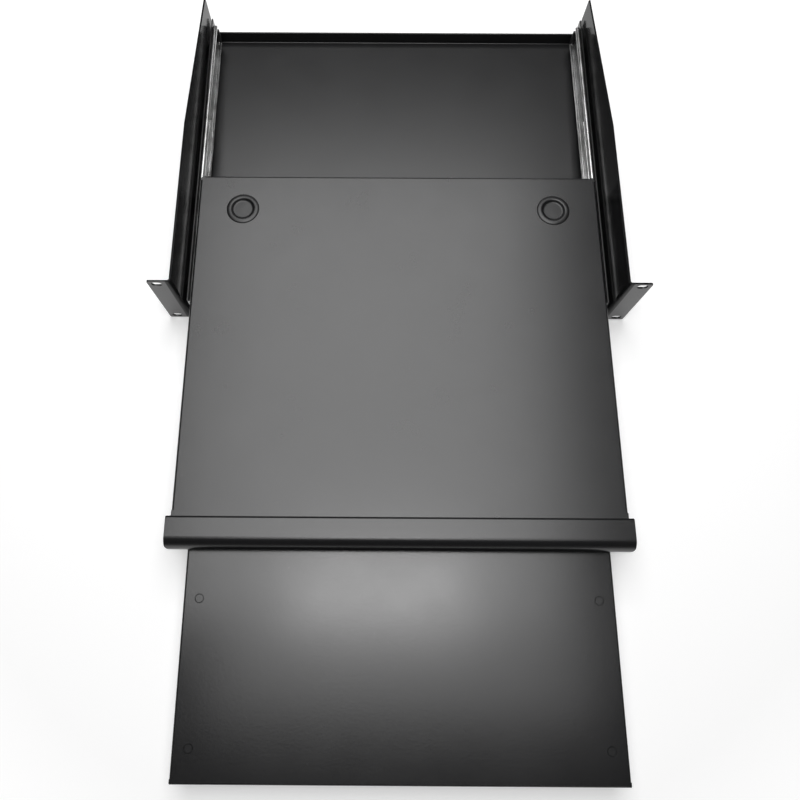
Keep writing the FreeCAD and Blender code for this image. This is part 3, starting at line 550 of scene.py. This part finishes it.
def rivet_tree(material):
    """Flush rivet: a countersunk cone in the sheet, its shank, and the closing head under the slide's web."""
    tree, given, result = new_tree("flush_rivet", [
        ("Head radius", "NodeSocketFloat"), ("Shank radius", "NodeSocketFloat"), ("Sheet", "NodeSocketFloat"),
        ("Grip", "NodeSocketFloat"), ("Tail height", "NodeSocketFloat"), ("Dish", "NodeSocketFloat")])
    cone = add_node(tree, "GeometryNodeMeshCone", {"Vertices": 40},
                    {"Radius Top": given["Head radius"], "Radius Bottom": given["Shank radius"],
                     "Depth": given["Sheet"]})
    down = add_node(tree, "ShaderNodeMath", {1: -1.0}, {0: given["Sheet"]}, operation="MULTIPLY")
    cone_place = add_node(tree, "ShaderNodeCombineXYZ", links={"Z": down.outputs["Value"]})
    cone_down = add_node(tree, "GeometryNodeTransform", links={"Geometry": cone.outputs["Mesh"],
                                                               "Translation": cone_place.outputs["Vector"]})
    dish_radius = add_node(tree, "ShaderNodeMath", {1: 0.55}, {0: given["Head radius"]}, operation="MULTIPLY")
    dish_depth = add_node(tree, "ShaderNodeMath", {1: 2.0}, {0: given["Dish"]}, operation="MULTIPLY")
    dish = add_node(tree, "GeometryNodeMeshCylinder", {"Vertices": 32},
                    {"Radius": dish_radius.outputs["Value"], "Depth": dish_depth.outputs["Value"]})
    head = add_node(tree, "GeometryNodeMeshBoolean", operation="DIFFERENCE", solver="EXACT")
    tree.links.new(cone_down.outputs["Geometry"], head.inputs["Mesh 1"])
    tree.links.new(dish.outputs["Mesh"], head.inputs["Mesh 2"])
    shank_length = add_node(tree, "ShaderNodeMath", {1: 1.5}, {0: given["Sheet"]}, operation="MULTIPLY")
    shank = add_node(tree, "GeometryNodeMeshCylinder", {"Vertices": 24},
                     {"Radius": given["Shank radius"], "Depth": shank_length.outputs["Value"]})
    shank_drop = add_node(tree, "ShaderNodeMath", {1: -1.25}, {0: given["Sheet"]}, operation="MULTIPLY")
    shank_place = add_node(tree, "ShaderNodeCombineXYZ", links={"Z": shank_drop.outputs["Value"]})
    shank_down = add_node(tree, "GeometryNodeTransform", links={"Geometry": shank.outputs["Mesh"],
                                                                "Translation": shank_place.outputs["Vector"]})
    tail_radius = add_node(tree, "ShaderNodeMath", {1: 0.85}, {0: given["Head radius"]}, operation="MULTIPLY")
    tail_end = add_node(tree, "ShaderNodeMath", {1: 0.7}, {0: given["Head radius"]}, operation="MULTIPLY")
    tail = add_node(tree, "GeometryNodeMeshCone", {"Vertices": 40},
                    {"Radius Top": tail_radius.outputs["Value"], "Radius Bottom": tail_end.outputs["Value"],
                     "Depth": given["Tail height"]})
    below = add_node(tree, "ShaderNodeMath", {1: -1.0}, {0: given["Grip"]}, operation="MULTIPLY")
    tail_drop = add_node(tree, "ShaderNodeMath", links={0: below.outputs["Value"], 1: given["Tail height"]},
                         operation="SUBTRACT")
    tail_place = add_node(tree, "ShaderNodeCombineXYZ", links={"Z": tail_drop.outputs["Value"]})
    tail_down = add_node(tree, "GeometryNodeTransform", links={"Geometry": tail.outputs["Mesh"],
                                                               "Translation": tail_place.outputs["Vector"]})
    whole = add_node(tree, "GeometryNodeMeshBoolean", operation="UNION", solver="EXACT")
    for part in (head.outputs["Mesh"], shank_down.outputs["Geometry"], tail_down.outputs["Geometry"]):
        tree.links.new(part, whole.inputs["Mesh 2"])
    finish_tree(tree, given, result, whole.outputs["Mesh"], material)
    return tree


def place_screws(node, body, slot, tree, facing_of):
    """Screws on the places and with the shank length that the node's solids have."""
    sizes = bpy.context.scene.shelf_fasteners
    places = []
    facings = []
    shank = 0.0
    for low, high in islands(node):
        middle = (low + high) / 2
        facing = facing_of(middle)
        reach = (high - low) / 2
        span = abs(reach.dot(facing))
        places.append(middle + facing * (span - sizes.head_height))
        facings.append(facing)
        shank = 2 * span - sizes.head_height
    piece = grown(points_object(node + "_points", places, facings), tree, {
        "Head radius": sizes.head_radius, "Head height": sizes.head_height, "Dome radius": sizes.dome_radius,
        "Shank radius": sizes.shank_radius, "Shank length": shank, "Recess width": sizes.recess_width,
        "Recess reach": sizes.recess_reach, "Recess depth": sizes.recess_depth}, node + "_pan_heads")
    return stand_for(piece, body, slot, node)


def outwards(middle):
    return Vector((math.copysign(1.0, middle.x), 0.0, 0.0))


def upwards(middle):
    return Vector((0.0, 0.0, 1.0))


def downwards(middle):
    return Vector((0.0, 0.0, -1.0))


class SHELF_OT_ear_brackets(bpy.types.Operator):
    """Dress the two ear brackets"""
    bl_idname = "shelf.ear_brackets"
    bl_label = "Ear brackets"

    def execute(self, context):
        coat = powder_coat("powder_coat_brackets", roughness=0.16, channel=context.scene.shelf_coat.channel_half)
        for side in ("left", "right"):
            coated_sheet(side + "_ear_bracket", "chassis", "bracket_coat", coat)
        return {"FINISHED"}


class SHELF_OT_base_pan(bpy.types.Operator):
    """Dress the floor pan between the brackets"""
    bl_idname = "shelf.base_pan"
    bl_label = "Base pan"

    def execute(self, context):
        coated_sheet("base_pan", "chassis", "pan_coat", powder_coat("powder_coat_pan", roughness=0.30))
        return {"FINISHED"}


class SHELF_OT_keyboard_tray(bpy.types.Operator):
    """Dress the keyboard tray and the brackets under it that carry the mouse tray's slides"""
    bl_idname = "shelf.keyboard_tray"
    bl_label = "Keyboard tray"

    def execute(self, context):
        coat = powder_coat("powder_coat_tray", roughness=0.26)
        for node in ("keyboard_tray", "left_mouse_bracket", "right_mouse_bracket"):
            coated_sheet(node, "keyboard_tray", "tray_coat", coat)
        finish_node("mouse_bracket_rivets", coat)
        return {"FINISHED"}


def dress_rear_edge(skin, width, drop):
    """Presses the rear edge of the top sheet down onto what it lies on, over its last stretch."""
    top = max(v.co.z for v in skin.verts)
    rear = max(v.co.y for v in skin.verts if v.co.z > top - WELD)
    bmesh.ops.bisect_plane(skin, geom=skin.verts[:] + skin.edges[:] + skin.faces[:], dist=WELD,
                           plane_co=(0.0, rear - width, 0.0), plane_no=(0.0, 1.0, 0.0))
    for vertex in skin.verts:
        if vertex.co.y > rear - WELD and vertex.co.z > top - WELD:
            vertex.co.z = top - drop


class SHELF_OT_front_handle(bpy.types.Operator):
    """Dress the rolled handle bar"""
    bl_idname = "shelf.front_handle"
    bl_label = "Handle bar"

    def execute(self, context):
        sizes = context.scene.shelf_coat
        skin = welded("front_handle")
        dress_rear_edge(skin, sizes.dressed_width, sizes.dressed_drop)
        coat = powder_coat("powder_coat_handle", roughness=0.24)
        bar = coated_sheet("front_handle", "keyboard_tray", "handle_coat", coat, skin)
        # the small faces at the pressed edge's ends would bend the light over the whole top
        for face in bar.data.polygons:
            face.use_smooth = face.area < sizes.flat_area
        return {"FINISHED"}


# radius and height below the crest, in millimetres, from the middle of the dish over the rim to the skirt
PLUG_PROFILE = ((0.0, -2.1), (4.0, -2.13), (8.6, -2.2), (9.6, -2.2), (10.1, -2.02), (10.6, -1.5), (11.2, -0.8),
                (11.7, -0.34), (12.3, -0.08), (13.0, 0.0), (13.8, -0.04), (14.6, -0.16), (15.4, -0.36),
                (16.1, -0.64), (16.55, -0.96), (16.75, -1.25), (16.75, -1.4), (13.8, -1.4),
                (13.8, -3.1), (14.6, -3.9), (13.6, -8.4), (12.3, -8.4), (12.3, -3.9), (0.0, -3.9))


def turned(profile, axis, steps):
    """A solid of revolution round an upright axis, from its outline in radius and height."""
    skin = bmesh.new()
    rings = []
    for radius, height in profile:
        if radius:
            turns = [2 * math.pi * i / steps for i in range(steps)]
            rings.append([skin.verts.new(axis + Vector((radius * math.cos(a), radius * math.sin(a), height)))
                          for a in turns])
        else:
            rings.append([skin.verts.new(axis + Vector((0.0, 0.0, height)))])
    for inner, outer in zip(rings, rings[1:]):
        for i in range(steps):
            corners = [inner[i % len(inner)], outer[i % len(outer)], outer[(i + 1) % len(outer)],
                       inner[(i + 1) % len(inner)]]
            skin.faces.new(list(dict.fromkeys(corners)))
    bmesh.ops.recalc_face_normals(skin, faces=skin.faces)
    return skin


class SHELF_OT_cable_plugs(bpy.types.Operator):
    """Dress the round plugs in the tray's back corners"""
    bl_idname = "shelf.cable_plugs"
    bl_label = "Cable plugs"

    def execute(self, context):
        mouldings = context.scene.shelf_mouldings
        nylon = moulded_nylon("moulded_nylon_plug", mouldings.plug_colour, roughness=0.36)
        for side in ("left", "right"):
            node = side + "_cable_plug"
            low, high = islands(node)[0]
            axis = Vector(((low.x + high.x) / 2, (low.y + high.y) / 2, high.z))
            skin = turned([(r * MILLIMETRE, z * MILLIMETRE) for r, z in PLUG_PROFILE], axis,
                          mouldings.plug_sides)
            stand_for(to_piece(skin, node + "_moulding", nylon, 40.0), "keyboard_tray", "plug_plastic", node)
        return {"FINISHED"}


class SHELF_OT_mouse_tray(bpy.types.Operator):
    """Dress the mouse tray's panel"""
    bl_idname = "shelf.mouse_tray"
    bl_label = "Mouse tray"

    def execute(self, context):
        coat = powder_coat("powder_coat_mouse_tray", roughness=0.21)
        coated_sheet("mouse_panel", "mouse_tray", "mouse_tray_coat", coat)
        return {"FINISHED"}


class SHELF_OT_slide_rails(bpy.types.Operator):
    """Plate the rolled members of the four slides"""
    bl_idname = "shelf.slide_rails"
    bl_label = "Slide rails"

    def execute(self, context):
        zinc = rolled_zinc("bright_zinc_rails", context.scene.shelf_plating.rail_colour, roughness=0.27)
        for side in ("left", "right"):
            for rail in ("outer_rail", "middle_rail", "inner_rail", "mouse_outer_rail", "mouse_inner_rail"):
                finish_node(side + "_" + rail, zinc)
        return {"FINISHED"}


class SHELF_OT_ball_cages(bpy.types.Operator):
    """Plate the ball cages and set their balls"""
    bl_idname = "shelf.ball_cages"
    bl_label = "Cages and balls"

    def execute(self, context):
        strip = rolled_zinc("zinc_cage_strip", context.scene.shelf_plating.cage_colour, roughness=0.36)
        for side in ("left", "right"):
            for cage in ("outer_cage", "inner_cage", "mouse_cage"):
                finish_node(side + "_" + cage, strip)
        sizes = context.scene.shelf_fasteners
        tree = ball_tree(polished_steel("lapped_bearing_steel"))
        for row, body in (("outer", "outer_cages"), ("inner", "inner_cages"), ("mouse", "mouse_cages")):
            node = row + "_bearing_balls"
            boxes = islands(node)
            places = [(low + high) / 2 for low, high in boxes]
            radius = (boxes[0][1] - boxes[0][0]).x / 2
            points = points_object(node + "_points", places, [upwards(place) for place in places])
            piece = grown(points, tree, {"Ball radius": radius, "Detail": sizes.ball_sides}, node + "_lapped", 60.0)
            stand_for(piece, body, "ball_steel", node)
        return {"FINISHED"}


class SHELF_OT_screws(bpy.types.Operator):
    """Set the pan head screws"""
    bl_idname = "shelf.screws"
    bl_label = "Screws"

    def execute(self, context):
        plate = rolled_zinc("bright_zinc_screws", context.scene.shelf_plating.screw_colour, roughness=0.34)
        zinc = screw_tree(plate)
        black = screw_tree(black_oxide("black_oxide_screws"))
        place_screws("bracket_screws", "chassis", "screw_zinc", zinc, outwards)
        place_screws("inner_rail_screws", "keyboard_tray", "screw_zinc", zinc, outwards)
        place_screws("mouse_outer_screws", "keyboard_tray", "screw_zinc", zinc, upwards)
        place_screws("handle_screws", "keyboard_tray", "screw_black", black, downwards)
        return {"FINISHED"}


class SHELF_OT_rivets(bpy.types.Operator):
    """Set the flush rivets in the mouse panel"""
    bl_idname = "shelf.rivets"
    bl_label = "Rivets"

    def execute(self, context):
        sizes = context.scene.shelf_fasteners
        tree = rivet_tree(powder_coat("powder_coat_rivets", roughness=0.22))
        boxes = islands("panel_rivets")
        places = [Vector(((low.x + high.x) / 2, (low.y + high.y) / 2, high.z)) for low, high in boxes]
        length = (boxes[0][1] - boxes[0][0]).z
        points = points_object("rivet_points", places, [upwards(place) for place in places])
        piece = grown(points, tree, {
            "Head radius": sizes.rivet_radius, "Shank radius": sizes.rivet_shank, "Sheet": sizes.rivet_sink,
            "Grip": length - sizes.rivet_tail, "Tail height": sizes.rivet_tail, "Dish": sizes.rivet_dish},
            "panel_rivets_flush")
        stand_for(piece, "mouse_tray", "mouse_tray_coat", "panel_rivets")
        return {"FINISHED"}


class SHELF_OT_rail_bumpers(bpy.types.Operator):
    """Dress the stops at the back of the outer rails"""
    bl_idname = "shelf.rail_bumpers"
    bl_label = "Rail bumpers"

    def execute(self, context):
        mouldings = context.scene.shelf_mouldings
        nylon = moulded_nylon("moulded_nylon_bumper", mouldings.bumper_colour, roughness=0.5)
        skin = welded("rail_bumpers")
        soften_edges(skin, mouldings.bumper_radius)
        piece = to_piece(skin, "rail_bumpers_moulding", nylon)
        stand_for(piece, "chassis", "bumper_plastic", "rail_bumpers")
        return {"FINISHED"}


def hang_lamp(name, place, width, depth, power):
    """A rectangular softbox that shines straight down."""
    lamp = bpy.data.lights.new(name, "AREA")
    lamp.shape = "RECTANGLE"
    lamp.size = width
    lamp.size_y = depth
    lamp.energy = power
    add_object(name, lamp).location = place


class SHELF_OT_studio(bpy.types.Operator):
    """Set the floor, the soft lamps and the camera"""
    bl_idname = "shelf.studio"
    bl_label = "Studio"

    def execute(self, context):
        studio = context.scene.shelf_studio
        floor_level = cad_box[0].z - 0.05 * MILLIMETRE
        half = studio.floor_size / 2
        mesh = bpy.data.meshes.new("floor")
        mesh.from_pydata([(-half, -half, floor_level), (half, -half, floor_level), (half, half, floor_level),
                          (-half, half, floor_level)], [], [(0, 1, 2, 3)])
        floor = add_object("floor", mesh)
        use_material(floor, self.paper(studio))
        self.light_room(context, studio)
        for lamp in LAMPS:
            hang_lamp(*lamp)
        self.set_camera(context, studio)
        context.scene.view_settings.view_transform = "Standard"
        return {"FINISHED"}

    def paper(self, studio):
        """Matt white paper: it takes the shelf's shadow, and reads as plain white to the eye."""
        material, tree, place = new_material("matt_white_paper")
        fibres = add_node(tree, "ShaderNodeTexNoise", {"Scale": pattern_scale(0.8), "Detail": 2.0}, {"Vector": place})
        relief = add_node(tree, "ShaderNodeBump", {"Strength": 0.1, "Distance": 0.00005},
                          {"Height": fibres.outputs["Fac"]})
        matt = add_node(tree, "ShaderNodeBsdfDiffuse", {"Color": studio.floor_colour},
                        {"Normal": relief.outputs["Normal"]})
        # the sheet's far part fades into the white room
        reach = add_node(tree, "ShaderNodeVectorMath", links={0: place}, operation="LENGTH")
        fade = add_node(tree, "ShaderNodeMapRange", {"From Min": studio.fade_start, "From Max": studio.fade_end,
                                                     "To Min": studio.floor_glow, "To Max": 1.0},
                        {"Value": reach.outputs["Value"]})
        path = add_node(tree, "ShaderNodeLightPath")
        seen = add_node(tree, "ShaderNodeMath", links={0: path.outputs["Is Camera Ray"],
                                                       1: path.outputs["Is Glossy Ray"]}, operation="MAXIMUM")
        clear = add_node(tree, "ShaderNodeMath", links={0: seen.outputs["Value"],
                                                        1: path.outputs["Is Transmission Ray"]}, operation="MAXIMUM")
        share = add_node(tree, "ShaderNodeMath", links={0: clear.outputs["Value"], 1: fade.outputs["Result"]},
                         operation="MULTIPLY")
        glow = add_node(tree, "ShaderNodeEmission", {"Color": (1.0, 1.0, 1.0, 1.0)},
                        {"Strength": share.outputs["Value"]})
        both = add_node(tree, "ShaderNodeAddShader", links={0: matt.outputs["BSDF"], 1: glow.outputs["Emission"]})
        add_node(tree, "ShaderNodeOutputMaterial", links={"Surface": both.outputs["Shader"]})
        return material

    def light_room(self, context, studio):
        """A dim room with pale walls low down, and white where the camera looks past the floor."""
        world = bpy.data.worlds.new("plain_room")
        world.use_nodes = True
        tree = world.node_tree
        tree.nodes.clear()
        heading = add_node(tree, "ShaderNodeTexCoord").outputs["Generated"]
        rise = add_node(tree, "ShaderNodeSeparateXYZ", links={"Vector": heading})
        room = add_node(tree, "ShaderNodeMapRange", {"From Min": 0.05, "From Max": 0.35, "To Min": studio.horizon,
                                                     "To Max": studio.sky}, {"Value": rise.outputs["Z"]},
                        interpolation_type="SMOOTHSTEP")
        path = add_node(tree, "ShaderNodeLightPath")
        strength = add_node(tree, "ShaderNodeMapRange", {"To Max": 1.0},
                            {"Value": path.outputs["Is Camera Ray"], "To Min": room.outputs["Result"]})
        sky = add_node(tree, "ShaderNodeBackground", {"Color": (1.0, 1.0, 1.0, 1.0)},
                       {"Strength": strength.outputs["Result"]})
        add_node(tree, "ShaderNodeOutputWorld", links={"Surface": sky.outputs["Background"]})
        context.scene.world = world

    def set_camera(self, context, studio):
        """The photograph's own viewing angle and framing."""
        lens = bpy.data.cameras.new("camera")
        lens.lens = studio.lens
        lens.sensor_width = SENSOR_WIDTH
        lens.shift_x, lens.shift_y = CAMERA_SHIFT
        camera = add_object("camera", lens)
        camera.location = CAMERA_PLACE
        camera.rotation_euler = (CAMERA_TILT, 0.0, CAMERA_TURN)
        context.scene.camera = camera


OPERATORS = (SHELF_OT_ear_brackets, SHELF_OT_base_pan, SHELF_OT_keyboard_tray, SHELF_OT_front_handle,
             SHELF_OT_cable_plugs, SHELF_OT_mouse_tray, SHELF_OT_slide_rails, SHELF_OT_ball_cages,
             SHELF_OT_screws, SHELF_OT_rivets, SHELF_OT_rail_bumpers, SHELF_OT_studio)


class SHELF_PT_panel(bpy.types.Panel):
    """The shelf's pieces and finishes"""
    bl_idname = "SHELF_PT_panel"
    bl_label = "Keyboard shelf"
    bl_space_type = "VIEW_3D"
    bl_region_type = "UI"
    bl_category = "Keyboard shelf"

    def draw(self, context):
        for group in GROUPS:
            column = self.layout.column(align=True)
            for name in group[1].__annotations__:
                column.prop(getattr(context.scene, group[0]), name)
        column = self.layout.column(align=True)
        for operator in OPERATORS:
            column.operator(operator.bl_idname)


GROUPS = (("shelf_coat", ShelfCoat), ("shelf_plating", ShelfPlating), ("shelf_fasteners", ShelfFasteners),
          ("shelf_mouldings", ShelfMouldings), ("shelf_studio", ShelfStudio))
CLASSES = tuple(group[1] for group in GROUPS) + OPERATORS + (SHELF_PT_panel,)


def register():
    for cls in CLASSES:
        bpy.utils.register_class(cls)
    for name, group in GROUPS:
        setattr(bpy.types.Scene, name, PointerProperty(type=group))


def unregister():
    for name, group in GROUPS:
        delattr(bpy.types.Scene, name)
    for cls in reversed(CLASSES):
        bpy.utils.unregister_class(cls)


def main():
    register()
    for operator in OPERATORS:
        area, name = operator.bl_idname.split(".")
        getattr(getattr(bpy.ops, area), name)()


if __name__ == "__main__":
    main()
